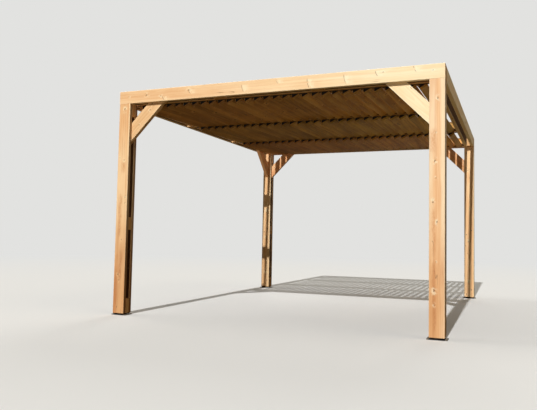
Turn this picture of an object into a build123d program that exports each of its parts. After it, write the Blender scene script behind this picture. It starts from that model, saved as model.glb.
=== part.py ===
from build123d import *
import math
import os

# A free-standing timber pergola with a flat roof of tilted louvers.
# Millimetres, +Z up. The origin is on the floor under the middle of the roof.
# The front faces -Y, and the left side is at -X.

# Overall sizes
overall_width = 3000.0
overall_depth = 3520.0
clear_height = 1980.0

# Every post and beam is a pair of boards with a gap between them
board_width = 118.0
board_thickness = 38.0
board_gap = 42.0
edge_ease = 3.0

# Short blocks that tie the two boards of a pair together
block_length = 118.0
foot_block_height = 130.0
middle_block_height = 850.0
corner_block_drop = 118.0
rafter_block_length = 100.0
end_block_length = 78.0

# Feet
foot_height = 18.0
foot_inset = 4.0
foot_ear = 19.0
foot_plate_thickness = 6.0
foot_core_inset = 14.0
foot_corner_radius = 8.0

# Diagonal braces
brace_leg = 345.0
brace_entry = 59.0

# Louvers and the toothed rails that carry them
bay_count = 3
louver_pitch = 90.0
louver_width = 70.0
louver_thickness = 18.0
louver_tilt = 27.0
louver_fall = 34.0
louver_edge_ease = 2.0
louver_end_clearance = 3.0
louver_row_offset = 18.0
louver_side_margin = 15.0
rail_thickness = 20.0
strip_thickness = 16.0
rail_body_height = 60.0

# Derived sizes
pair_width = 2 * board_thickness + board_gap
total_height = clear_height + board_width
half_width = overall_width / 2
half_depth = overall_depth / 2
inner_half_width = half_width - pair_width
inner_half_depth = half_depth - pair_width
post_inner_x = half_width - board_width
bay_length = (2 * inner_half_depth - (bay_count - 1) * board_thickness) / bay_count
bay_step = bay_length + board_thickness
rafter_places = [-inner_half_depth + (i + 1) * bay_step - board_thickness / 2 for i in range(bay_count - 1)]
brace_inner_leg = brace_leg - board_width * math.sqrt(2)

tilt = math.radians(louver_tilt)
tooth_run = louver_width * math.cos(tilt)
tooth_depth = louver_width * math.sin(tilt)
louver_reach = louver_width * math.cos(tilt) + louver_thickness * math.sin(tilt)
row_room = 2 * inner_half_width - 2 * louver_side_margin - louver_reach
louver_count = int(row_room // louver_pitch) + 1
row_length = (louver_count - 1) * louver_pitch + louver_reach
first_tip_x = -row_length / 2 + louver_row_offset
fall_angle = math.degrees(math.atan2(louver_fall, bay_length))


def span_box(x0, x1, y0, y1, z0, z1):
    """A plain block between two opposite corners."""
    size = (abs(x1 - x0), abs(y1 - y0), abs(z1 - z0))
    return Pos((x0 + x1) / 2, (y0 + y1) / 2, (z0 + z1) / 2) * Box(*size)


def eased_board(x0, x1, y0, y1, z0, z1, length_axis):
    """A sawn board whose four long edges are eased."""
    board = span_box(x0, x1, y0, y1, z0, z1)
    return chamfer(board.edges().filter_by(length_axis), edge_ease)


def gather(solids):
    """Several solids that don't touch, kept in one node."""
    return Compound(children=list(solids))


def pair_offsets(outer_face, inward):
    """Outer board, gap and inner board of a pair, measured from its outer face."""
    steps = (0, board_thickness, board_thickness + board_gap, pair_width)
    places = [outer_face + inward * step for step in steps]
    return (places[0], places[1]), (places[1], places[2]), (places[2], places[3])


def make_post(side, end):
    """Two upright boards with blocks between them. The boards face the front and the back."""
    outer, gap, inner = pair_offsets(end * half_depth, -end)
    x0, x1 = side * half_width, side * post_inner_x
    outer_board = eased_board(x0, x1, *outer, foot_height, clear_height, Axis.Z)
    inner_board = eased_board(x0, x1, *inner, foot_height, clear_height, Axis.Z)
    middle_low = middle_block_height - block_length / 2
    blocks = gather([
        span_box(x0, x1, *gap, foot_height, foot_height + foot_block_height),
        span_box(x0, x1, *gap, middle_low, middle_low + block_length),
        span_box(x0, x1, *gap, clear_height - corner_block_drop, total_height),
    ])
    return outer_board, inner_board, blocks


def make_foot(side, end):
    """A low steel foot: a base plate with an ear on each side, a core and a top plate."""
    x = side * (half_width - board_width / 2)
    y = end * (half_depth - pair_width / 2)
    plate_y = pair_width - 2 * foot_inset
    base_size = (board_width + 2 * foot_ear, plate_y, foot_plate_thickness)
    base = Pos(x, y, foot_plate_thickness / 2) * Box(*base_size)
    base = fillet(base.edges().filter_by(Axis.Z), foot_corner_radius)
    top_size = (board_width - 2 * foot_inset, plate_y, foot_plate_thickness)
    top = Pos(x, y, foot_height - foot_plate_thickness / 2) * Box(*top_size)
    core_size = (board_width - 2 * foot_core_inset, pair_width - 2 * foot_core_inset, foot_height)
    core = Pos(x, y, foot_height / 2) * Box(*core_size)
    return base + top + core


def make_cross_beam(end):
    """Front or rear beam: two boards over the full width, on top of the posts."""
    outer, gap, inner = pair_offsets(end * half_depth, -end)
    outer_board = eased_board(-half_width, half_width, *outer, clear_height, total_height, Axis.X)
    inner_board = eased_board(-half_width, half_width, *inner, clear_height, total_height, Axis.X)
    blocks = []
    for place in (-inner_half_width / 3, inner_half_width / 3):
        x0 = place - block_length / 2
        blocks.append(span_box(x0, x0 + block_length, *gap, clear_height, total_height))
    return outer_board, inner_board, gather(blocks)


def make_side_beam(side, block_middles, length):
    """Left or right beam: two boards that butt between the front and rear beams."""
    outer, gap, inner = pair_offsets(side * half_width, -side)
    y0, y1 = -inner_half_depth, inner_half_depth
    outer_board = eased_board(*outer, y0, y1, clear_height, total_height, Axis.Y)
    inner_board = eased_board(*inner, y0, y1, clear_height, total_height, Axis.Y)
    blocks = []
    for middle in block_middles:
        low = middle - length / 2
        blocks.append(span_box(*gap, low, low + length, clear_height, total_height))
    return outer_board, inner_board, gather(blocks)


def brace_profile(post_entry):
    """Brace outline: u runs from the post's inner face, v up from the beam's underside."""
    return [
        (-post_entry, -brace_leg - post_entry),
        (brace_leg + brace_entry, brace_entry),
        (brace_inner_leg + brace_entry, brace_entry),
        (-post_entry, -brace_inner_leg - post_entry),
    ]


def make_cross_brace(side, end):
    """Brace of the front or rear frame, held in the gaps of the post and the beam."""
    gap = pair_offsets(end * half_depth, -end)[1]
    corners = [(side * (post_inner_x - u), clear_height + v) for u, v in brace_profile(brace_entry)]
    face = Plane.XZ * make_face(Polyline(*corners, close=True))
    return Pos(0, min(gap), 0) * extrude(face, amount=board_gap, dir=(0, 1, 0))


def make_side_brace(side, end):
    """Brace of a side frame, cut plumb against the post and held in the beam's gap."""
    gap = pair_offsets(side * half_width, -side)[1]
    corners = [(end * (inner_half_depth - u), clear_height + v) for u, v in brace_profile(0)]
    face = Plane.YZ * make_face(Polyline(*corners, close=True))
    return Pos(min(gap), 0, 0) * extrude(face, amount=board_gap, dir=(1, 0, 0))


def make_rafter(place):
    """A single board on edge between the side beams."""
    y0, y1 = place - board_thickness / 2, place + board_thickness / 2
    return eased_board(-inner_half_width, inner_half_width, y0, y1, clear_height, total_height, Axis.X)


def bay_frame(front_face):
    """Frame of a bay: X across, Y along the louvers, which fall towards the front."""
    return Pos(0, front_face, clear_height - tooth_depth) * Rot(fall_angle, 0, 0)


def make_louvers(front_face):
    """One bay of tilted slats, each seated under the long side of its tooth."""
    length = bay_length / math.cos(math.radians(fall_angle)) - 2 * louver_end_clearance
    slat = Box(louver_width, length, louver_thickness)
    slat = chamfer(slat.edges().filter_by(Axis.Y), louver_edge_ease)
    seated = Rot(0, -louver_tilt, 0) * Pos(louver_width / 2, 0, -louver_thickness / 2) * slat
    frame = bay_frame(front_face)
    middle = louver_end_clearance + length / 2
    return gather([frame * Pos(first_tip_x + i * louver_pitch, middle, 0) * seated for i in range(louver_count)])


def tooth_outline(plumb):
    """Toothed lower edge and a high top edge, across the whole bay.

    The low side of a tooth is plumb, or runs up to the end of the slat before it.
    """
    points = [(-inner_half_width, tooth_depth)]
    for i in range(louver_count):
        tip = first_tip_x + i * louver_pitch
        if plumb:
            points.append((tip, tooth_depth))
        elif i == 0:
            points.append((tip - louver_pitch + tooth_run, tooth_depth))
        points.append((tip, 0))
        points.append((tip + tooth_run, tooth_depth))
    top = tooth_depth + 2 * rail_body_height
    points += [(inner_half_width, tooth_depth), (inner_half_width, top), (-inner_half_width, top)]
    return points


def make_toothed_pair(front_face, plumb, setback, thickness):
    """Two toothed boards of a bay, one near each end of its louvers, above the slats."""
    face = Plane.XZ * make_face(Polyline(*tooth_outline(plumb), close=True))
    frame = bay_frame(front_face)
    near = front_face + setback
    far = front_face + bay_length - setback - thickness
    pair = []
    for y0, rise in ((near, 0), (far, louver_fall)):
        start = y0 - front_face - thickness
        blank = frame * Pos(0, start, 0) * extrude(face, amount=3 * thickness, dir=(0, 1, 0))
        low = clear_height - 2 * tooth_depth
        high = clear_height + rise + rail_body_height
        room = span_box(-inner_half_width, inner_half_width, y0, y0 + thickness, low, high)
        pair.append(blank & room)
    return gather(pair)


parts = {}
sides = {"left": -1, "right": 1}
ends = {"front": -1, "rear": 1}

for end_name, end in ends.items():
    for side_name, side in sides.items():
        post = "post_" + end_name + "_" + side_name
        boards_and_blocks = make_post(side, end)
        parts[post + "_outer_board"] = boards_and_blocks[0]
        parts[post + "_inner_board"] = boards_and_blocks[1]
        parts[post + "_blocks"] = boards_and_blocks[2]
        parts["foot_" + end_name + "_" + side_name] = make_foot(side, end)
        parts["brace_" + end_name + "_" + side_name] = make_cross_brace(side, end)
    parts["brace_left_side_" + end_name] = make_side_brace(sides["left"], end)

end_middle = inner_half_depth - end_block_length / 2
beams = {
    "front": make_cross_beam(ends["front"]),
    "rear": make_cross_beam(ends["rear"]),
    "left": make_side_beam(sides["left"], rafter_places, rafter_block_length),
    "right": make_side_beam(sides["right"], (-end_middle, end_middle), end_block_length),
}
for beam_name, beam in beams.items():
    parts[beam_name + "_beam_outer_board"] = beam[0]
    parts[beam_name + "_beam_inner_board"] = beam[1]
    parts[beam_name + "_beam_blocks"] = beam[2]

for name, place in zip(("front_rafter", "rear_rafter"), rafter_places):
    parts[name] = make_rafter(place)

for index, name in enumerate(("front_bay", "middle_bay", "rear_bay")):
    bay_front = -inner_half_depth + index * bay_step
    parts[name + "_louvers"] = make_louvers(bay_front)
    parts[name + "_rails"] = make_toothed_pair(bay_front, True, 0, rail_thickness)
    parts[name + "_strips"] = make_toothed_pair(bay_front, False, rail_thickness, strip_thickness)

os.makedirs("parts", exist_ok=True)
for name, solid in parts.items():
    export_step(solid, "parts/" + name + ".step")
print(len(parts), "nodes written,", louver_count, "louvers a bay")
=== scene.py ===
import itertools
import math
import random

import bmesh
import bpy
from mathutils import Euler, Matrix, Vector


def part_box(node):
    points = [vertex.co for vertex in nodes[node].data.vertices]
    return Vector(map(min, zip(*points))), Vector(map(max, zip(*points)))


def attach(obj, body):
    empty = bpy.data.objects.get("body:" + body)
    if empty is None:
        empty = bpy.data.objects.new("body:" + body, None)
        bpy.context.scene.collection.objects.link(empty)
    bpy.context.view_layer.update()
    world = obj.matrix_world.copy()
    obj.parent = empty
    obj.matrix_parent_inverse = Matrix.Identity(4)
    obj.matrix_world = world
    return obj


# A timber pergola in oiled softwood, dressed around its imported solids.
# Metres, +Z up. The front faces -Y, and the left side is at -X.

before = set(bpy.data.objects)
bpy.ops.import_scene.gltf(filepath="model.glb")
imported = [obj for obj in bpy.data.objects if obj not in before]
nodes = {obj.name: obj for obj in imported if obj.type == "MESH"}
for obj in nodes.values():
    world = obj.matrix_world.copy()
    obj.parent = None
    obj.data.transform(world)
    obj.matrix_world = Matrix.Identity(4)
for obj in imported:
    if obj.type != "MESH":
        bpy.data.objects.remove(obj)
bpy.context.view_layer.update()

X = Vector((1, 0, 0))
Y = Vector((0, 1, 0))
Z = Vector((0, 0, 1))
SIDES = {"left": -1, "right": 1}
ENDS = {"front": -1, "rear": 1}


def middle_of(node):
    """The middle of a node's box."""
    low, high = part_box(node)
    return (low + high) / 2


# Places and sizes that the solids share
POST_MIDDLE_X = middle_of("post_front_right_outer_board").x
FOOT_MIDDLE_Y = middle_of("foot_rear_right").y
BEAM_MIDDLE_Z = middle_of("front_beam_outer_board").z
RAFTER_MIDDLE_Y = middle_of("rear_rafter").y
BEAM_BLOCK_MIDDLE_X = 0.461
POST_BLOCK_MIDDLES_Z = (0.083, 0.850, 1.921)
BOARD_WIDTH = 0.118
LOUVER_PITCH = 0.090
LOUVER_WIDTH = 0.070
LOUVER_THICKNESS = 0.018
LOUVER_TILT = math.radians(27)

# From the middle of a joint to one of its two screws, and places of screws that the solids don't show
POST_SCREW_OFFSET = 0.030 * X + 0.028 * Z
CROSS_BEAM_SCREW_OFFSET = 0.026 * X + 0.027 * Z
SIDE_BEAM_SCREW_OFFSET = 0.010 * Y + 0.030 * Z
SIDE_BEAM_END_JOINT_Y = 1.60
BRACE_SCREW_INSET = 0.035
BRACE_SCREW_HEIGHTS = (1.655, 1.700)


def linear(red, green, blue):
    """A colour given as it looks on screen, from 0 to 255, in linear light."""
    def channel(value):
        value /= 255
        return value / 12.92 if value <= 0.04045 else ((value + 0.055) / 1.055) ** 2.4
    return (channel(red), channel(green), channel(blue), 1.0)


def palette(*colors):
    """Sapwood, early wood, late wood and knot colour of one timber."""
    return tuple(linear(*color) for color in colors)


def toned(colors, red, green, blue):
    """The same timber, with each part of its light made weaker or stronger."""
    return tuple((r * red, g * green, b * blue, 1.0) for r, g, b, _ in colors)


# Timbers, with darker and paler copies that carry painted shade and painted light. Those of the posts are by
# side, and those of the slats by bay
POSTS = {"left": palette((252, 222, 174), (242, 196, 141), (217, 152, 95), (104, 54, 26)),
         "right": palette((255, 234, 196), (249, 204, 153), (227, 162, 107), (112, 58, 28))}
POSTS_LOW = {"left": palette((238, 190, 134), (213, 149, 95), (182, 114, 64), (90, 46, 22)),
             "right": palette((255, 226, 184), (240, 188, 133), (206, 139, 85), (98, 50, 24))}
# A paler copy of the post timber for the rear posts, as painted light that brightens their sunlit strips
REAR_POST_PAINTED_LIGHT = palette((255, 234, 190), (255, 217, 166), (236, 176, 118), (112, 58, 28))
BEAM_TAN = palette((255, 230, 186), (246, 206, 156), (222, 164, 108), (112, 66, 36))
BEAM_CREAM = palette((255, 244, 208), (255, 232, 188), (246, 202, 146), (128, 84, 50))
BRACE_TAN = palette((248, 214, 166), (240, 200, 148), (218, 166, 112), (104, 58, 30))
# A darker, redder copy of the brace timber, as painted shade for the braces that stand in shade
BRACE_PAINTED_SHADE = palette((246, 204, 154), (238, 180, 124), (212, 140, 84), (100, 52, 26))
BRACE_CREAM = palette((255, 246, 212), (255, 236, 194), (248, 210, 156), (128, 84, 50))
# A darker copy of the timber, as painted shade for inner boards and blocks that stand in shade
PAINTED_SHADE_TIMBER = palette((248, 208, 152), (234, 182, 120), (202, 144, 84), (104, 64, 34))
SUNNY = palette((255, 232, 184), (250, 214, 160), (226, 176, 118), (118, 78, 44))
SLATS = {"front_bay": palette((230, 182, 112), (208, 158, 90), (167, 116, 60), (84, 52, 24)),
         "middle_bay": palette((228, 186, 110), (206, 163, 87), (165, 121, 58), (82, 56, 26)),
         "rear_bay": palette((238, 186, 112), (216, 163, 90), (174, 118, 60), (86, 52, 24))}
# Near-black timber of the rails
RAIL_NEAR_BLACK = palette((44, 32, 23), (36, 26, 18), (25, 18, 13), (12, 9, 7))

# The timber of each post at its head and at its foot, and of each brace in the front and rear frames
POST_COLORS = {"front": {side: (POSTS[side], POSTS_LOW[side]) for side in SIDES},
               "rear": {"left": (REAR_POST_PAINTED_LIGHT, POSTS["left"]), "right": (REAR_POST_PAINTED_LIGHT, REAR_POST_PAINTED_LIGHT)}}
BRACE_COLORS = {"front": {"left": BRACE_TAN, "right": BRACE_CREAM},
                "rear": {"left": BRACE_PAINTED_SHADE, "right": BRACE_PAINTED_SHADE}}

# Each beam's direction, the way its outer board faces, and the timber of its outer and inner board
BEAMS = {"front": (X, -Y, BEAM_TAN, PAINTED_SHADE_TIMBER), "rear": (X, Y, SUNNY, PAINTED_SHADE_TIMBER),
         "left": (Y, -X, SUNNY, PAINTED_SHADE_TIMBER), "right": (Y, X, BEAM_CREAM, SUNNY)}

# Slats are darker at the left end of the roof and lighter at the right end, as painted shade and painted
# light
SLAT_PAINTED_SHADE = (0.80, 0.75, 0.76)
SLAT_PAINTED_LIGHT = (1.08, 1.14, 0.92)

# Painted shade, and how far it darkens each place where shade falls
PAINTED_SHADE_COLOR = linear(120, 98, 76)
GROOVE_PAINTED_SHADE = 0.92
POST_SIDE_PAINTED_SHADE = 0.58
BEAM_GAP_PAINTED_SHADE = 0.85
REAR_BEAM_PAINTED_SHADE = 0.7
RAFTER_FRONT_PAINTED_SHADE = 0.8
RAFTER_BOTTOM_PAINTED_SHADE = 0.6

SCREW_STEEL = linear(150, 142, 130)
SCREW_SLOT = linear(40, 34, 30)

# Noise cells a metre, along, across and through a board
WANDER_CELLS = (1.1, 2.5, 2.5)
STREAK_CELLS = (0.8, 48.0, 48.0)
BLOTCH_CELLS = (1.8, 8.0, 8.0)
SAPWOOD_CELLS = (0.5, 14.0, 14.0)
FIBRE_CELLS = (9.0, 700.0, 700.0)
CRACK_CELLS = (0.9, 16.0, 2.0)
CRACK_ZONE_CELLS = (2.3, 9.0, 1.0)
KNOT_FIBRE_CELLS = (28.0, 190.0, 190.0)
VEIN_DASH_CELLS = (42.0, 170.0, 170.0)
SAP_EDGE_CELLS = (2.5, 40.0, 40.0)

# Like pieces in one node grow their figures from numbers this far apart
NUMBER_STEP = 3.17

FLOAT, VECTOR, COLOR = "NodeSocketFloat", "NodeSocketVector", "NodeSocketColor"
TIMBER_LAYERS = ("Sapwood", "Early wood", "Late wood", "Knot wood")


class Tree:
    """Short names for the shader nodes of one tree."""

    def __init__(self, tree):
        self.tree = tree

    def node(self, kind, **settings):
        made = self.tree.nodes.new(kind)
        for name, value in settings.items():
            setattr(made, name, value)
        return made

    def feed(self, socket, value):
        """Links a socket to another, or sets it to a value."""
        if isinstance(value, bpy.types.NodeSocket):
            self.tree.links.new(value, socket)
        elif value is not None:
            socket.default_value = value

    def math(self, operation, a, b=None, c=None):
        made = self.node("ShaderNodeMath", operation=operation)
        for socket, value in zip(made.inputs, (a, b, c)):
            self.feed(socket, value)
        return made.outputs[0]

    def product(self, first, *others):
        for other in others:
            first = self.math("MULTIPLY", first, other)
        return first

    def vector(self, operation, a, b=None):
        made = self.node("ShaderNodeVectorMath", operation=operation)
        for socket, value in zip(made.inputs, (a, b)):
            self.feed(socket, value)
        return made.outputs["Value"] if operation in ("DOT_PRODUCT", "LENGTH") else made.outputs[0]

    def times(self, vector, factor):
        made = self.node("ShaderNodeVectorMath", operation="SCALE")
        self.feed(made.inputs[0], vector)
        self.feed(made.inputs["Scale"], factor)
        return made.outputs[0]

    def combine(self, x, y, z):
        made = self.node("ShaderNodeCombineXYZ")
        for socket, value in zip(made.inputs, (x, y, z)):
            self.feed(socket, value)
        return made.outputs[0]

    def split(self, vector):
        made = self.node("ShaderNodeSeparateXYZ")
        self.feed(made.inputs[0], vector)
        return made.outputs[0], made.outputs[1], made.outputs[2]

    def ramp(self, value, low, high, to_low=0.0, to_high=1.0):
        """A smooth step from one value to another. It also runs downwards, where low is above high."""
        made = self.node("ShaderNodeMapRange", interpolation_type="SMOOTHSTEP")
        for socket, given in zip(made.inputs, (value, low, high, to_low, to_high)):
            self.feed(socket, given)
        return made.outputs[0]

    def within(self, value, limit, blur):
        """1 while the value is under its limit, with a soft step."""
        return self.ramp(value, limit + blur, limit - blur)

    def bell(self, value, width):
        """1 where the value is 0, falling away over the width on both sides."""
        share = self.math("DIVIDE", value, width)
        return self.math("EXPONENT", self.math("MULTIPLY", self.math("POWER", share, 2.0), -1.0))

    def towards(self, normal, direction, amount=1.0):
        """The amount on faces that look in a direction, and 0 on the others."""
        cosine = self.vector("DOT_PRODUCT", normal, direction)
        return self.ramp(cosine, 0.80, 0.95, 0.0, amount)

    def noise(self, point, cells, detail=2.0, roughness=0.5):
        """Soft noise. cells is how many of its cells lie in a metre, or that in each direction."""
        made = self.node("ShaderNodeTexNoise", noise_dimensions="3D")
        scaled = self.vector("MULTIPLY", point, cells if isinstance(cells, tuple) else (cells,) * 3)
        self.feed(made.inputs["Vector"], scaled)
        made.inputs["Scale"].default_value = 1.0
        made.inputs["Detail"].default_value = detail
        made.inputs["Roughness"].default_value = roughness
        return made.outputs[0]

    def uneven(self, point, cells, detail=2.0, roughness=0.5):
        """The same noise, from about -0.5 to 0.5."""
        return self.math("SUBTRACT", self.noise(point, cells, detail, roughness), 0.5)

    def chance(self, number):
        """Three chance values from 0 to 1 that belong to a number, and the same as a vector."""
        made = self.node("ShaderNodeTexWhiteNoise", noise_dimensions="1D")
        self.feed(made.inputs["W"], number)
        return (*self.split(made.outputs["Color"]), made.outputs["Color"])

    def mix(self, factor, a, b, blend="MIX"):
        made = self.node("ShaderNodeMix", data_type="RGBA", blend_type=blend)
        self.feed(made.inputs[0], factor)
        self.feed(made.inputs[6], a)
        self.feed(made.inputs[7], b)
        return made.outputs[2]

    def bump(self, height, strength, distance):
        made = self.node("ShaderNodeBump")
        made.inputs["Strength"].default_value = strength
        made.inputs["Distance"].default_value = distance
        self.feed(made.inputs["Height"], height)
        return made.outputs["Normal"]


def floats(*labels):
    """Number sockets, as a dict for group."""
    return dict.fromkeys(labels, FLOAT)


def group(name, inputs, outputs):
    """An empty node group. inputs and outputs are dicts from a socket's label to its kind."""
    tree = bpy.data.node_groups.new(name, "ShaderNodeTree")
    for in_out, sockets in (("INPUT", inputs), ("OUTPUT", outputs)):
        for label, kind in sockets.items():
            tree.interface.new_socket(label, in_out=in_out, socket_type=kind)
    source = tree.nodes.new("NodeGroupInput")
    sink = tree.nodes.new("NodeGroupOutput")
    return Tree(tree), source.outputs, sink.inputs


# The groups below take points on a board as (along, across, through), in metres from its middle


def make_knot_group():
    """One knot through a board: a broken core with a tail along the grain, and pale wood around parts of it.

    The widths are in half widths of the knot across the grain, and in its half lengths along the grain.
    """
    length_to_width = 1.5
    raggedness = 2.6
    tail_width, tail_length, tail_strength = 0.7, 2.6, 0.55
    halo_middle, halo_width = 1.5, 1.7
    push_width = 2.4

    t, given, out = group("knot", {"Point": VECTOR, **floats("Along", "Across", "Radius")},
                          floats("Core", "Halo", "Push"))
    point, radius = given["Point"], given["Radius"]
    along, across, _ = t.split(point)
    half_length = t.math("MULTIPLY", radius, length_to_width)
    u = t.math("DIVIDE", t.math("SUBTRACT", along, given["Along"]), half_length)
    v = t.math("DIVIDE", t.math("SUBTRACT", across, given["Across"]), radius)
    ragged = t.uneven(point, 95.0, 3.0, 0.65)
    distance = t.math("MULTIPLY_ADD", ragged, raggedness, t.vector("LENGTH", t.combine(u, v, 0.0)))

    core = t.product(t.ramp(distance, 1.10, 0.50), t.ramp(distance, -0.3, 0.4, 0.45, 1.0))
    fibres = t.ramp(t.noise(point, KNOT_FIBRE_CELLS), 0.42, 0.62)
    tail = t.product(t.bell(v, tail_width), t.bell(u, tail_length), fibres, tail_strength)
    t.feed(out["Core"], t.math("MAXIMUM", core, tail))
    one_sided = t.ramp(t.noise(point, 38.0), 0.44, 0.58)
    t.feed(out["Halo"], t.product(t.bell(t.math("SUBTRACT", distance, halo_middle), halo_width), one_sided))
    t.feed(out["Push"], t.product(t.bell(distance, push_width), radius))
    return t.tree


def make_spike_group():
    """A branch that was sawn along its length: a thin curved line across the board, pale to one side."""
    bow, slant = 0.008, -0.012
    line_width = 0.0035
    pale_start, pale_full, pale_end = 0.006, 0.020, 0.085

    t, given, out = group("spike_knot", {"Point": VECTOR, **floats("Along", "Across", "Length")},
                          floats("Line", "Side"))
    along, across, _ = t.split(given["Point"])
    v = t.math("DIVIDE", t.math("SUBTRACT", across, given["Across"]), given["Length"])
    curve = t.math("MULTIPLY_ADD", v, slant, t.math("MULTIPLY", t.math("POWER", v, 2.0), bow))
    off = t.math("SUBTRACT", t.math("SUBTRACT", along, given["Along"]), curve)
    broken = t.noise(given["Point"], 45.0, 3.0)
    reach = t.ramp(t.math("ABSOLUTE", v), 1.0, 0.5)
    t.feed(out["Line"], t.product(t.bell(off, line_width), t.ramp(broken, 0.3, 0.55), reach))
    pale = t.product(t.ramp(off, 0.0, pale_start), t.ramp(off, pale_end, pale_full))
    t.feed(out["Side"], t.product(pale, reach, t.ramp(broken, 0.25, 0.6)))
    return t.tree


def make_screw_group():
    """A countersunk screw head, flush with the face, and the crushed wood around it."""
    head_radius, head_blur = 0.0043, 0.0003
    dent_radius, dent_full = 0.0095, 0.0042
    slot_half_width, slot_reach, slot_blur = 0.0007, 0.0025, 0.0002

    t, given, out = group("screw", {"Point": VECTOR, **floats("Along", "Across")},
                          floats("Head", "Slot", "Dent"))
    along, across, _ = t.split(given["Point"])
    u = t.math("SUBTRACT", along, given["Along"])
    v = t.math("SUBTRACT", across, given["Across"])
    distance = t.vector("LENGTH", t.combine(u, v, 0.0))
    t.feed(out["Head"], t.within(distance, head_radius, head_blur))
    t.feed(out["Dent"], t.ramp(distance, dent_radius, dent_full))
    arms = [t.within(t.math("ABSOLUTE", off), slot_half_width, slot_blur) for off in (u, v)]
    t.feed(out["Slot"], t.product(t.math("MAXIMUM", *arms), t.within(distance, slot_reach, slot_blur)))
    return t.tree


def make_figure_group():
    """Growth rings, sapwood, streaks, fibres and drying cracks of a sawn softwood board."""
    ring_width = 0.0062
    heart_spread = 0.09
    heart_nearest, heart_depth_range = 0.04, 0.08
    wander_width = 0.040
    most_taper = 0.010
    farthest_shift = 37.0

    masks = ("Push", "Core", "Halo", "Line", "Side", "Vein", "End", "Edge")
    inputs = {"Point": VECTOR, **floats("Seed", "Spread", "Contrast", *masks)}
    inputs.update(dict.fromkeys(TIMBER_LAYERS, COLOR))
    t, given, out = group("wood_figure", inputs, {"Color": COLOR, **floats("Roughness", "Height")})
    first, second, third, shift = t.chance(given["Seed"])
    place = t.vector("ADD", given["Point"], t.times(shift, farthest_shift))
    along, across, through = t.split(given["Point"])

    # The tree's heart lies beside the board and wanders along it
    heart_across = t.math("MULTIPLY", t.math("SUBTRACT", first, 0.5), heart_spread)
    heart_through = t.math("MULTIPLY_ADD", second, heart_depth_range, heart_nearest)
    off_across = t.math("SUBTRACT", across, heart_across)
    off_through = t.math("ADD", through, heart_through)
    radius = t.vector("LENGTH", t.combine(off_across, off_through, 0.0))
    taper = t.math("MULTIPLY", along, t.math("MULTIPLY_ADD", third, 2 * most_taper, -most_taper))
    radius = t.math("ADD", radius, taper)
    radius = t.math("MULTIPLY_ADD", t.noise(place, WANDER_CELLS), wander_width, radius)
    radius = t.math("ADD", radius, given["Push"])
    ring = t.math("FRACT", t.math("DIVIDE", radius, ring_width))
    late = t.product(t.ramp(ring, 0.30, 0.92), t.ramp(ring, 1.0, 0.95))

    streak = t.noise(place, STREAK_CELLS, 3.0, 0.6)
    blotch = t.noise(place, BLOTCH_CELLS, 3.0)
    sapwood = t.noise(place, SAPWOOD_CELLS)
    fibre = t.noise(place, FIBRE_CELLS)
    crack_line = t.math("ABSOLUTE", t.uneven(place, CRACK_CELLS))
    crack_zone = t.ramp(t.noise(place, CRACK_ZONE_CELLS), 0.58, 0.64)
    crack = t.product(t.ramp(crack_line, 0.005, 0.0012), crack_zone)

    # Each layer is laid over those before it, by its share
    dark = t.math("MULTIPLY_ADD", late, 0.32, t.ramp(streak, 0.40, 0.66, 0.0, 0.55))
    layers = (
        (t.product(dark, given["Contrast"]), "Late wood"),
        (t.ramp(sapwood, 0.46, 0.66, 0.0, 0.60), "Sapwood"),
        (t.product(t.ramp(blotch, 0.42, 0.72, 0.0, 0.50), given["Contrast"]), "Late wood"),
        (t.ramp(fibre, 0.45, 0.75, 0.0, 0.20), "Late wood"),
        (t.product(given["Vein"], 0.85), "Late wood"),
        (t.product(given["Vein"], 0.08), "Knot wood"),
        (t.product(given["Side"], 0.65), "Sapwood"),
        (t.product(given["Halo"], 0.85), "Sapwood"),
        (t.product(given["Line"], 0.65), "Knot wood"),
        (t.product(given["Core"], 0.72), "Knot wood"),
        (t.product(crack, 0.70), "Knot wood"),
        (t.product(given["End"], 0.60), "Late wood"),
        # Pale long edges: partly wear, partly a painted highlight
        (t.product(given["Edge"], t.ramp(blotch, 0.30, 0.60, 0.25, 0.75)), "Sapwood"),
    )
    color = given["Early wood"]
    for share, layer in layers:
        color = t.mix(share, color, given[layer])
    brightness = t.math("MULTIPLY_ADD", t.math("SUBTRACT", second, 0.5), given["Spread"], 1.0)
    t.feed(out["Color"], t.mix(1.0, color, t.combine(brightness, brightness, brightness), "MULTIPLY"))

    # Late wood is smoother than early wood and stands higher, and cut ends and fibres are rough
    rough = t.math("MULTIPLY_ADD", late, -0.08, 0.60)
    rough = t.math("MULTIPLY_ADD", given["End"], 0.20, rough)
    t.feed(out["Roughness"], t.math("MULTIPLY_ADD", fibre, 0.16, rough))
    height = t.math("MULTIPLY_ADD", late, 0.25, t.math("MULTIPLY", fibre, 0.45))
    height = t.math("MULTIPLY_ADD", crack, -1.6, height)
    t.feed(out["Height"], t.math("MULTIPLY_ADD", given["Core"], 0.25, height))
    return t.tree


KNOT = make_knot_group()
SPIKE = make_spike_group()
SCREW = make_screw_group()
FIGURE = make_figure_group()


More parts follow.
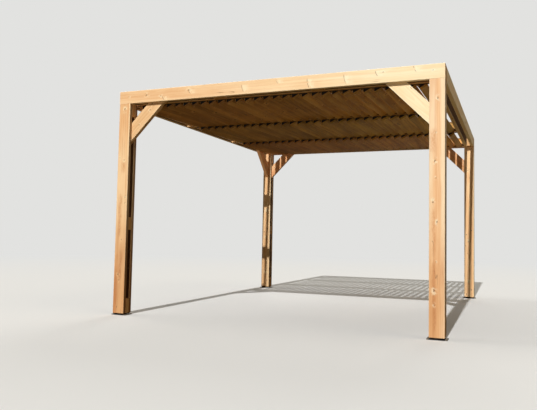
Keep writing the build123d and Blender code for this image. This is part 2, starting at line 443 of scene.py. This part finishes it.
class Shape:
    """A straight board's own directions, middle and half sizes."""

    def __init__(self, along, across, centre, half_along, half_across, half_through):
        self.along, self.across, self.through = along, across, along.cross(across)
        self.centre = centre
        self.half_along, self.half_across, self.half_through = half_along, half_across, half_through

    @classmethod
    def of_node(cls, name, along, across):
        """A board that lies square in its node's box."""
        low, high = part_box(name)
        half = (high - low) / 2
        halves = [abs(half.dot(axis)) for axis in (along, across, along.cross(across))]
        return cls(along, across, (low + high) / 2, *halves)

    @classmethod
    def of_brace(cls, name, towards_middle, towards_post):
        """A board at 45 degrees. Its long edge is a diagonal of its node's box."""
        low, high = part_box(name)
        along = (towards_middle + Z).normalized()
        across = (towards_post + Z).normalized()
        half_through = abs((high - low).dot(along.cross(across))) / 2
        half_across = BOARD_WIDTH / 2
        centre = (low + high) / 2 + half_across * across
        return cls(along, across, centre, (high.z - low.z) / math.sqrt(2), half_across, half_through)

    def place(self, point):
        """A point of the row frame as (along, across) on the board."""
        off = Vector(point) - self.centre
        return off.dot(self.along), off.dot(self.across)


def own_point(t, point, shape, seed, repeat):
    """The point as (along, across, through) on its own board, and the number that its figure grows from."""
    number = float(seed)
    if repeat:
        axis, start, step = repeat
        off = t.math("SUBTRACT", t.vector("DOT_PRODUCT", point, axis), start)
        index = t.math("FLOOR", t.math("DIVIDE", off, step))
        point = t.vector("SUBTRACT", point, t.times(axis, t.math("MULTIPLY", index, step)))
        number = t.math("MULTIPLY_ADD", index, NUMBER_STEP, seed)
    here = t.vector("SUBTRACT", point, shape.centre)
    axes = (shape.along, shape.across, shape.through)
    return t.combine(*(t.vector("DOT_PRODUCT", here, axis) for axis in axes)), number


def marked(t, kind, point, marks, labels):
    """The masks of one kind of mark over all its places: the largest of each, but the sum of the pushes."""
    masks = {}
    for mark in marks:
        made = t.node("ShaderNodeGroup", node_tree=kind)
        t.feed(made.inputs["Point"], point)
        for label, value in zip(labels, mark):
            t.feed(made.inputs[label], value)
        for output in made.outputs:
            operation = "ADD" if output.name == "Push" else "MAXIMUM"
            masks[output.name] = t.math(operation, masks.get(output.name, 0.0), output)
    return masks


def knot_masks(t, local, number, shape, knots, repeat):
    """Knots. On like pieces they move on by chance, come round again at the other end, and differ in size."""
    if repeat and knots:
        first, second, third, _ = t.chance(t.math("ADD", number, 0.5))
        along, across, through = t.split(local)
        along = t.math("MULTIPLY_ADD", first, 2 * shape.half_along, along)
        along = t.math("WRAP", along, shape.half_along, -shape.half_along)
        across = t.math("MULTIPLY_ADD", t.math("SUBTRACT", second, 0.5), shape.half_across, across)
        local = t.combine(along, across, through)
        size = t.ramp(third, 0.0, 1.0, 0.4, 1.2)
        knots = [(place, side, t.math("MULTIPLY", size, radius)) for place, side, radius in knots]
    return marked(t, KNOT, local, knots, ("Along", "Across", "Radius"))


def vein_mask(t, point, local, veins):
    """Redder streaks along the grain, broken into short dashes."""
    end_length = 0.08
    wander_width = 0.03
    along, across, _ = t.split(local)
    wobble = t.math("MULTIPLY", t.uneven(point, 9.0), wander_width)
    dashes = t.ramp(t.noise(local, VEIN_DASH_CELLS, 3.0, 0.6), 0.38, 0.62, 0.40, 1.0)
    mask = 0.0
    for start, stop, side, width in veins:
        band = t.bell(t.math("ADD", t.math("SUBTRACT", across, side), wobble), width)
        reach = t.product(t.ramp(along, start, start + end_length), t.ramp(along, stop, stop - end_length))
        mask = t.math("MAXIMUM", mask, t.product(band, reach, dashes))
    return mask


def sap_mask(t, local, half_across, width):
    """A ragged strip of sapwood along one edge, fainter towards the foot."""
    raggedness = 0.030
    faint_place, full_place = -0.55, 0.10
    along, across, _ = t.split(local)
    edge = t.math("MULTIPLY_ADD", t.uneven(local, SAP_EDGE_CELLS, 3.0), raggedness, across)
    strip = t.ramp(edge, half_across - width, half_across - 0.6 * width)
    return t.product(strip, t.ramp(along, faint_place, full_place, 0.25, 1.0))


def edge_mask(t, local, shape):
    """The long edges of a board, made pale partly by wear and partly as a painted highlight where the eased
    edge catches the light.
    """
    rubbed_width, palest_width = 0.007, 0.001
    _, off_across, off_through = t.split(t.vector("ABSOLUTE", local))
    pairs = ((off_across, shape.half_across), (off_through, shape.half_through))
    return t.product(*(t.ramp(off, half - rubbed_width, half - palest_width) for off, half in pairs))


def faded(t, point, colors, axis, start, stop, others):
    """The timber, turning into another along an axis."""
    wobble = t.math("MULTIPLY", t.uneven(point, 3.0), 0.5 * abs(stop - start))
    share = t.ramp(t.math("ADD", t.vector("DOT_PRODUCT", point, axis), wobble), start, stop)
    return tuple(t.mix(share, one, other) for one, other in zip(colors, others))


def add_screws(t, shader, local, screws, seen, dented, color, roughness, height):
    """Screw heads on the side of a board where seen is 1. dented is the colour of the crushed wood."""
    masks = marked(t, SCREW, local, screws, ("Along", "Across"))
    head, slot, dent = (t.product(masks[label], seen) for label in ("Head", "Slot", "Dent"))
    color = t.mix(t.product(dent, 0.55), color, dented)
    color = t.mix(t.product(head, 0.85), color, SCREW_STEEL)
    color = t.mix(slot, color, SCREW_SLOT)
    roughness = t.math("MULTIPLY_ADD", head, -0.2, roughness)
    for mask in (dent, slot):
        height = t.math("MULTIPLY_ADD", mask, -0.8, height)
    t.feed(shader.inputs["Metallic"], t.product(head, 0.5))
    return color, roughness, height


def new_material(name):
    """A material with its shader and its tree."""
    material = bpy.data.materials.new(name)
    material.use_nodes = True
    return material, material.node_tree.nodes["Principled BSDF"], Tree(material.node_tree)


def wood(name, shape, colors, seed, knots=(), spikes=(), veins=(), screws=(), face=None, repeat=None,
         fade=None, sap=None, grime=(), spread=0.14, contrast=1.0, wear_and_highlight=1.0):
    """A board's material. Its figure follows the board's own length, width and thickness.

    Knots are (along, across, radius), spikes (along, across, length), veins (start, stop, across, width),
    and screws (along, across) on the side that looks towards face. repeat is (axis, start, step) for a node
    of several like pieces: those in different steps along the axis have different figures. fade is (axis,
    start, stop, palette): the timber turns into the second palette along the axis. sap is the width of a
    strip of sapwood along one edge. The painted shade is (direction, amount) for each way that faces
    darkened with painted shade look. spread is how much like pieces differ in brightness, contrast how
    strongly late wood and blotches show, and the last argument how far the long edges are made pale,
    partly by wear and partly as a painted highlight.
    """
    material, shader, t = new_material(name)
    source = t.node("ShaderNodeTexCoord")
    point, normal = source.outputs["Object"], source.outputs["Normal"]
    local, number = own_point(t, point, shape, seed, repeat)

    masks = knot_masks(t, local, number, shape, knots, repeat)
    masks.update(marked(t, SPIKE, local, spikes, ("Along", "Across", "Length")))
    if sap:
        strip = sap_mask(t, local, shape.half_across, sap)
        masks["Side"] = t.math("MAXIMUM", masks.get("Side", 0.0), strip)
    if veins:
        masks["Vein"] = vein_mask(t, point, local, veins)
    facing = t.math("ABSOLUTE", t.vector("DOT_PRODUCT", normal, shape.along))
    masks["End"] = t.ramp(facing, 0.7, 0.9)
    # Pale long edges, partly wear and partly a painted highlight
    masks["Edge"] = t.product(edge_mask(t, local, shape), wear_and_highlight)

    if fade:
        colors = faded(t, point, colors, *fade)
    figure = t.node("ShaderNodeGroup", node_tree=FIGURE)
    values = {"Point": local, "Seed": number, "Spread": spread, "Contrast": contrast, **masks}
    values.update(zip(TIMBER_LAYERS, colors))
    for label, value in values.items():
        t.feed(figure.inputs[label], value)
    color, roughness, height = (figure.outputs[label] for label in ("Color", "Roughness", "Height"))
    # Painted shade: faces that look in each given direction are darkened
    for direction, amount in grime:
        color = t.mix(t.towards(normal, direction, amount), color, PAINTED_SHADE_COLOR, "MULTIPLY")
    if screws:
        color, roughness, height = add_screws(t, shader, local, screws, t.towards(normal, face), colors[3],
                                              color, roughness, height)

    t.feed(shader.inputs["Base Color"], color)
    t.feed(shader.inputs["Roughness"], roughness)
    t.feed(shader.inputs["Normal"], t.bump(height, strength=0.6, distance=0.0008))
    shader.inputs["Specular IOR Level"].default_value = 0.35
    return material


def paint_node(name, material):
    """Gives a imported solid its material."""
    slots = nodes[name].data.materials
    slots.clear()
    slots.append(material)


def scattered_knots(seed, shape, spacing=0.42, small=0.004, large=0.009):
    """Knots along a board, at chosen but uneven places."""
    chance = random.Random(seed)
    count = max(1, int(2 * shape.half_along / spacing))
    step = 2 * shape.half_along / count
    knots = []
    for i in range(count):
        place = -shape.half_along + (i + chance.uniform(0.15, 0.85)) * step
        knots.append((place, chance.uniform(-0.75, 0.75) * shape.half_across, chance.uniform(small, large)))
    return knots


SEEDS = itertools.count(1)


def dress(name, shape, colors, marks=None, spikes=(), screws=(), veins=(), **looks):
    """Gives one node its timber. Marks, spikes, screws and veins are at points of the row frame.

    Marks are knots. A board has scattered ones, unless they are given.
    """
    seed = next(SEEDS)
    if marks is None:
        knots = scattered_knots(seed, shape)
    else:
        knots = [(*shape.place(point), radius) for point, radius in marks]
    looks["spikes"] = [(*shape.place(point), length) for point, length in spikes]
    looks["screws"] = [shape.place(point) for point in screws]
    looks["veins"] = [(shape.place(low)[0], *shape.place(high), width) for low, high, width in veins]
    paint_node(name, wood(name + "_wood", shape, colors, seed, knots, **looks))


def board(name, along, across, colors, marks=None, **looks):
    """Dresses one straight board, or a node of several like pieces."""
    dress(name, Shape.of_node(name, along, across), colors, marks, **looks)


def on_front(marks):
    """Marks at (x, z) on a face that looks to the front, as points of the row frame."""
    return [(Vector((x, 0, z)), size) for (x, z), size in marks]


def screw_pairs(joints, offset):
    """Two screws at each joint, one on either side of its middle."""
    return [joint + turn * offset for joint in joints for turn in (-1, 1)]


# Knots that show on the front faces, as (x, z) and radius
POST_MARKS = {
    "left": (((-1.440, 1.931), 0.008), ((-1.477, 1.466), 0.004), ((-1.431, 1.445), 0.005),
             ((-1.404, 1.096), 0.005), ((-1.402, 1.040), 0.004), ((-1.430, 0.700), 0.004),
             ((-1.453, 0.377), 0.006), ((-1.445, 0.322), 0.005)),
    "right": (((1.447, 1.828), 0.006), ((1.433, 1.566), 0.003), ((1.426, 1.345), 0.006),
              ((1.434, 1.215), 0.004), ((1.412, 1.033), 0.006), ((1.442, 0.882), 0.005),
              ((1.435, 0.582), 0.003), ((1.421, 0.365), 0.007), ((1.422, 0.261), 0.004)),
}
BRACE_MARKS = {
    "left": (((-1.165, 1.969), 0.006), ((-1.185, 1.914), 0.006), ((-1.300, 1.780), 0.004)),
    "right": (((1.237, 1.931), 0.004),),
}
BEAM_MARKS = (((-1.399, 2.044), 0.004), ((-1.202, 2.048), 0.007), ((-1.043, 2.027), 0.005),
              ((-0.752, 2.060), 0.006), ((1.023, 2.067), 0.004), ((1.410, 2.048), 0.004))

# Sawn branches on the front beam, as (x, z) and half length
BEAM_SPIKES = (((-1.020, 2.005), 0.022), ((-0.746, 2.045), 0.025), ((-0.215, 2.036), 0.040),
               ((0.110, 2.066), 0.022), ((0.390, 2.026), 0.050), ((0.706, 2.034), 0.048),
               ((0.966, 2.060), 0.028), ((1.268, 2.070), 0.030))

# Redder streaks on the front posts, as (x, lowest z, highest z) and half width
POST_VEINS = {
    "left": (((-1.436, 1.30, 1.47), 0.022), ((-1.432, 0.30, 0.62), 0.014), ((-1.455, 0.70, 1.15), 0.014)),
    "right": (((1.420, 0.03, 0.62), 0.011), ((1.418, 0.60, 1.02), 0.014), ((1.415, 1.38, 1.62), 0.024)),
}

# Width of the sapwood along the right edge of the front posts
POST_SAP = {"left": 0.022, "right": 0.040}

# The posts darken between these heights
POST_FADE_TOP, POST_FADE_BOTTOM = 1.15, 0.10

# The front beam turns from tan to cream between these places
BEAM_FADE_START, BEAM_FADE_END = -1.3, 1.4

# The slats turn from painted shade to painted light between these places
SLAT_FADE_START, SLAT_FADE_END = -1.2, 1.3

# A stretch of post or beam that holds one block at most, and how far a slat's stretch begins to its left
POST_BLOCK_STEP = 0.62
BEAM_BLOCK_STEP = 1.0
SLAT_MARGIN = 0.002


def dress_post(end_name, side_name):
    """The two boards of a post and the blocks between them."""
    end, side = ENDS[end_name], SIDES[side_name]
    post = "post_" + end_name + "_" + side_name
    colors, low_colors = POST_COLORS[end_name][side_name]
    fade = (Z, POST_FADE_TOP, POST_FADE_BOTTOM, low_colors)
    # Painted shade on the narrow sides of the post
    sides = ((X, POST_SIDE_PAINTED_SHADE), (-X, POST_SIDE_PAINTED_SHADE))
    middle_x = side * POST_MIDDLE_X
    screws = screw_pairs([Vector((middle_x, 0, z)) for z in POST_BLOCK_MIDDLES_Z], POST_SCREW_OFFSET)
    screws += [Vector((middle_x - side * BRACE_SCREW_INSET, 0, z)) for z in BRACE_SCREW_HEIGHTS]

    seen = {}
    if end_name == "front":
        veins = [(Vector((x, 0, low)), Vector((x, 0, high)), width)
                 for (x, low, high), width in POST_VEINS[side_name]]
        seen = {"marks": on_front(POST_MARKS[side_name]), "veins": veins, "sap": POST_SAP[side_name]}
    # Painted shade on the faces that look into the groove between the post's two boards
    board(post + "_outer_board", Z, X, colors, fade=fade, grime=((-end * Y, GROOVE_PAINTED_SHADE), *sides), **seen)
    board(post + "_inner_board", Z, X, colors, fade=fade, grime=((end * Y, GROOVE_PAINTED_SHADE), *sides),
          screws=screws, face=-end * Y)
    board(post + "_blocks", Z, X, PAINTED_SHADE_TIMBER, marks=(), repeat=(Z, 0.0, POST_BLOCK_STEP))


def dress_braces(end_name, side_name):
    """The brace of a front or rear frame, and that of the left side."""
    end, side = ENDS[end_name], SIDES[side_name]
    brace = "brace_" + end_name + "_" + side_name
    marks = on_front(BRACE_MARKS[side_name]) if end_name == "front" else None
    dress(brace, Shape.of_brace(brace, -side * X, side * X), BRACE_COLORS[end_name][side_name], marks)
    if side_name == "left":
        brace = "brace_left_side_" + end_name
        dress(brace, Shape.of_brace(brace, -end * Y, end * Y), BRACE_PAINTED_SHADE)


def dress_beam(beam):
    """The two boards of a beam and the blocks between them."""
    along, out, outer_colors, inner_colors = BEAMS[beam]
    if along == X:
        places = (-POST_MIDDLE_X, -BEAM_BLOCK_MIDDLE_X, BEAM_BLOCK_MIDDLE_X, POST_MIDDLE_X)
        offset = CROSS_BEAM_SCREW_OFFSET
    else:
        places = (-SIDE_BEAM_END_JOINT_Y, -RAFTER_MIDDLE_Y, RAFTER_MIDDLE_Y, SIDE_BEAM_END_JOINT_Y)
        offset = SIDE_BEAM_SCREW_OFFSET
    screws = screw_pairs([place * along + BEAM_MIDDLE_Z * Z for place in places], offset)

    seen = {}
    if beam == "front":
        seen = {"marks": on_front(BEAM_MARKS), "spikes": on_front(BEAM_SPIKES),
                "fade": (X, BEAM_FADE_START, BEAM_FADE_END, BEAM_CREAM), "contrast": 0.8}
    # Painted shade on the faces that look into the gap between the beam's two boards
    board(beam + "_beam_outer_board", along, Z, outer_colors, grime=((-out, BEAM_GAP_PAINTED_SHADE),), **seen)
    grime = [(out, BEAM_GAP_PAINTED_SHADE)]
    # The rear beam's inner board also has painted shade on its face that looks to the front
    if beam == "rear":
        grime.append((-out, REAR_BEAM_PAINTED_SHADE))
    board(beam + "_beam_inner_board", along, Z, inner_colors, screws=screws, face=-out, grime=grime)
    board(beam + "_beam_blocks", Z, along, PAINTED_SHADE_TIMBER, marks=(), repeat=(along, -BEAM_BLOCK_STEP, BEAM_BLOCK_STEP))


def dress_bay(bay, colors):
    """The slats, rails and strips of one bay."""
    low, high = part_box(bay + "_louvers")
    across = Vector((math.cos(LOUVER_TILT), 0, math.sin(LOUVER_TILT)))
    first_slat = Vector((low.x + LOUVER_WIDTH / 2, (low.y + high.y) / 2, (low.z + high.z) / 2))
    shape = Shape(Y, across, first_slat, (high.y - low.y) / 2, LOUVER_WIDTH / 2, LOUVER_THICKNESS / 2)
    seed = next(SEEDS)
    knots = scattered_knots(seed, shape, spacing=0.5, small=0.005, large=0.009)
    slats = (X, low.x - SLAT_MARGIN, LOUVER_PITCH)
    # The slats fade from painted shade at the left end to painted light at the right end
    fade = (X, SLAT_FADE_START, SLAT_FADE_END, toned(colors, *SLAT_PAINTED_LIGHT))
    material = wood(bay + "_louvers_wood", shape, toned(colors, *SLAT_PAINTED_SHADE), seed, knots,
                    repeat=slats, fade=fade, spread=0.36, contrast=1.2, wear_and_highlight=0.2)
    paint_node(bay + "_louvers", material)

    low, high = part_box(bay + "_rails")
    front_and_rear = (Y, low.y, (high.y - low.y) / 2)
    board(bay + "_rails", X, Z, RAIL_NEAR_BLACK, marks=(), repeat=front_and_rear)
    board(bay + "_strips", X, Z, colors, marks=(), repeat=front_and_rear)


for end_name in ENDS:
    for side_name in SIDES:
        dress_post(end_name, side_name)
        dress_braces(end_name, side_name)
for beam in BEAMS:
    dress_beam(beam)
# Painted shade on the rafters' front faces and bottoms
for rafter in ("front_rafter", "rear_rafter"):
    board(rafter, X, Z, SLATS["front_bay"], grime=((-Y, RAFTER_FRONT_PAINTED_SHADE), (-Z, RAFTER_BOTTOM_PAINTED_SHADE)))
for bay, colors in SLATS.items():
    dress_bay(bay, colors)

# The feet's ears: their middle and start to either side of the post's middle, and the top of their plate
EAR_MIDDLE = 0.0685
EAR_START, EAR_FULL = 0.056, 0.062
EAR_TOP = 0.006
COAT_DARK, COAT_DUSTY = linear(30, 25, 22), linear(66, 58, 50)
EAR_DARK, EAR_DUSTY = linear(84, 78, 68), linear(150, 140, 124)

# Radius and height of the rings of a washer and of a hexagon head
WASHER_RINGS = ((0.0072, 0.0), (0.0075, 0.0004), (0.0075, 0.0011), (0.0071, 0.0014))
WASHER_SIDES = 24
HEAD_RINGS = ((0.0050, 0.0014), (0.0052, 0.0017), (0.0052, 0.0045), (0.0046, 0.0052))
HEAD_SIDES = 6


def make_dark_steel():
    """Black-coated steel under the posts, with worn and dusty ears that stand out to the sides."""
    material, shader, t = new_material("dark_steel_coat")
    point = t.node("ShaderNodeTexCoord").outputs["Object"]
    dust = t.noise(point, 60.0, 4.0, 0.65)
    coat = t.mix(t.ramp(dust, 0.45, 0.75), COAT_DARK, COAT_DUSTY)
    worn = t.mix(t.ramp(dust, 0.35, 0.65), EAR_DARK, EAR_DUSTY)
    x, _, _ = t.split(t.vector("ABSOLUTE", point))
    off = t.math("ABSOLUTE", t.math("SUBTRACT", x, POST_MIDDLE_X))
    t.feed(shader.inputs["Base Color"], t.mix(t.ramp(off, EAR_START, EAR_FULL), coat, worn))
    t.feed(shader.inputs["Roughness"], t.ramp(dust, 0.3, 0.7, 0.42, 0.75))
    t.feed(shader.inputs["Normal"], t.bump(t.noise(point, 400.0), strength=0.3, distance=0.0005))
    shader.inputs["Metallic"].default_value = 0.3
    return material


def add_turned(shape, base, rings, sides):
    """A closed form of stacked rings, each (radius, height) over its base point."""
    loops = []
    for radius, height in rings:
        loop = []
        for i in range(sides):
            angle = 2 * math.pi * i / sides
            off = Vector((radius * math.cos(angle), radius * math.sin(angle), height))
            loop.append(shape.verts.new(base + off))
        loops.append(loop)
    for lower, upper in zip(loops, loops[1:]):
        for i in range(sides):
            j = (i + 1) % sides
            shape.faces.new((lower[i], lower[j], upper[j], upper[i]))
    shape.faces.new(loops[0][::-1])
    shape.faces.new(loops[-1])


def add_object(name, shape):
    """Turns a bmesh into an object of the scene."""
    mesh = bpy.data.meshes.new(name)
    shape.to_mesh(mesh)
    shape.free()
    made = bpy.data.objects.new(name, mesh)
    bpy.context.scene.collection.objects.link(made)
    return made


def make_foot_bolts(material):
    """A small hexagon bolt with its washer on each ear of the feet."""
    shape = bmesh.new()
    for end in ENDS.values():
        for side in SIDES.values():
            for ear in (-1, 1):
                base = Vector((side * POST_MIDDLE_X + ear * EAR_MIDDLE, end * FOOT_MIDDLE_Y, EAR_TOP))
                add_turned(shape, base, WASHER_RINGS, WASHER_SIDES)
                add_turned(shape, base, HEAD_RINGS, HEAD_SIDES)
    bolts = add_object("foot_bolts", shape)
    bolts.data.materials.append(material)
    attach(bolts, "root")


dark_steel = make_dark_steel()
for end_name in ENDS:
    for side_name in SIDES:
        paint_node("foot_" + end_name + "_" + side_name, dark_steel)
make_foot_bolts(dark_steel)

# The stage: a pale floor that fades into the backdrop, a low key light from the front with weak soft lights
# around it, and the camera
BACKDROP = linear(226, 226, 224)
FLOOR_BOUNCE = linear(96, 80, 38)
FLOOR_RADIUS = 60.0
FLOOR_FADE_START, FLOOR_FADE_END = 4.0, 16.0
SKY = linear(252, 242, 220)
SKY_STRENGTH = 0.055

# Azimuth and elevation in degrees, strength, how wide the lamp looks in degrees, and colour.
# Azimuth 0 shines along +Y from the front, and 90 along -X from the right
LAMPS = {"key_light": (0.8, 34.8, 3.3, 0.8, linear(255, 255, 255)),
         "right_light": (80.0, 50.0, 0.32, 30.0, linear(255, 238, 208)),
         "left_light": (-90.0, 50.0, 0.6, 30.0, linear(255, 252, 246)),
         "back_light": (185.0, 42.0, 0.8, 30.0, linear(255, 252, 246))}

# The photograph's view
CAMERA_PLACE = (1.9753, -6.2079, 0.7465)
CAMERA_TURN = (93.4447, -1.0228, 21.3664)
CAMERA_LENS, CAMERA_SENSOR = 38.588, 36.0
CAMERA_SHIFT_X, CAMERA_SHIFT_Y = -0.03536, -0.00434


def make_floor():
    """A pale floor. Far out it takes the backdrop's colour, and it throws little light up at the roof."""
    shape = bmesh.new()
    bmesh.ops.create_circle(shape, cap_ends=True, radius=FLOOR_RADIUS, segments=96)
    floor = add_object("floor", shape)
    material, unused_shader, t = new_material("floor")
    material.node_tree.nodes.remove(unused_shader)
    seen = t.node("ShaderNodeLightPath").outputs["Is Camera Ray"]
    near = t.node("ShaderNodeBsdfDiffuse")
    t.feed(near.inputs["Color"], t.mix(seen, FLOOR_BOUNCE, BACKDROP))
    far = t.node("ShaderNodeEmission")
    far.inputs["Color"].default_value = BACKDROP
    distance = t.vector("LENGTH", t.node("ShaderNodeTexCoord").outputs["Object"])
    blend = t.node("ShaderNodeMixShader")
    t.feed(blend.inputs[0], t.ramp(distance, FLOOR_FADE_START, FLOOR_FADE_END))
    t.feed(blend.inputs[1], near.outputs[0])
    t.feed(blend.inputs[2], far.outputs[0])
    t.feed(material.node_tree.nodes["Material Output"].inputs["Surface"], blend.outputs[0])
    floor.data.materials.append(material)


def make_world():
    """Even light from all around, with a pale backdrop for the camera."""
    world = bpy.data.worlds.new("studio")
    bpy.context.scene.world = world
    world.use_nodes = True
    t = Tree(world.node_tree)
    light = world.node_tree.nodes["Background"]
    light.inputs["Color"].default_value = SKY
    light.inputs["Strength"].default_value = SKY_STRENGTH
    seen = t.node("ShaderNodeBackground")
    seen.inputs["Color"].default_value = BACKDROP
    seen.inputs["Strength"].default_value = 1.0
    blend = t.node("ShaderNodeMixShader")
    t.feed(blend.inputs[0], t.node("ShaderNodeLightPath").outputs["Is Camera Ray"])
    t.feed(blend.inputs[1], light.outputs[0])
    t.feed(blend.inputs[2], seen.outputs[0])
    t.feed(world.node_tree.nodes["World Output"].inputs["Surface"], blend.outputs[0])


def make_lamp(name, azimuth, elevation, strength, width, color):
    """A far lamp, aimed down at the stage."""
    light = bpy.data.lights.new(name, "SUN")
    light.color = color[:3]
    light.energy = strength
    light.angle = math.radians(width)
    lamp = bpy.data.objects.new(name, light)
    a, e = math.radians(azimuth), math.radians(elevation)
    towards = Vector((-math.sin(a) * math.cos(e), math.cos(a) * math.cos(e), -math.sin(e)))
    lamp.rotation_mode = "QUATERNION"
    lamp.rotation_quaternion = towards.to_track_quat("-Z", "Y")
    bpy.context.scene.collection.objects.link(lamp)


def make_camera():
    """The camera, which looks up at the roof from the front right."""
    data = bpy.data.cameras.new("camera")
    data.sensor_width = CAMERA_SENSOR
    data.lens = CAMERA_LENS
    data.shift_x = CAMERA_SHIFT_X
    data.shift_y = CAMERA_SHIFT_Y
    data.clip_end = 200.0
    camera = bpy.data.objects.new("camera", data)
    camera.location = CAMERA_PLACE
    camera.rotation_euler = Euler([math.radians(angle) for angle in CAMERA_TURN], "XYZ")
    bpy.context.scene.collection.objects.link(camera)
    bpy.context.scene.camera = camera


make_floor()
make_world()
for name, settings in LAMPS.items():
    make_lamp(name, *settings)
make_camera()
bpy.context.scene.view_settings.view_transform = "Standard"
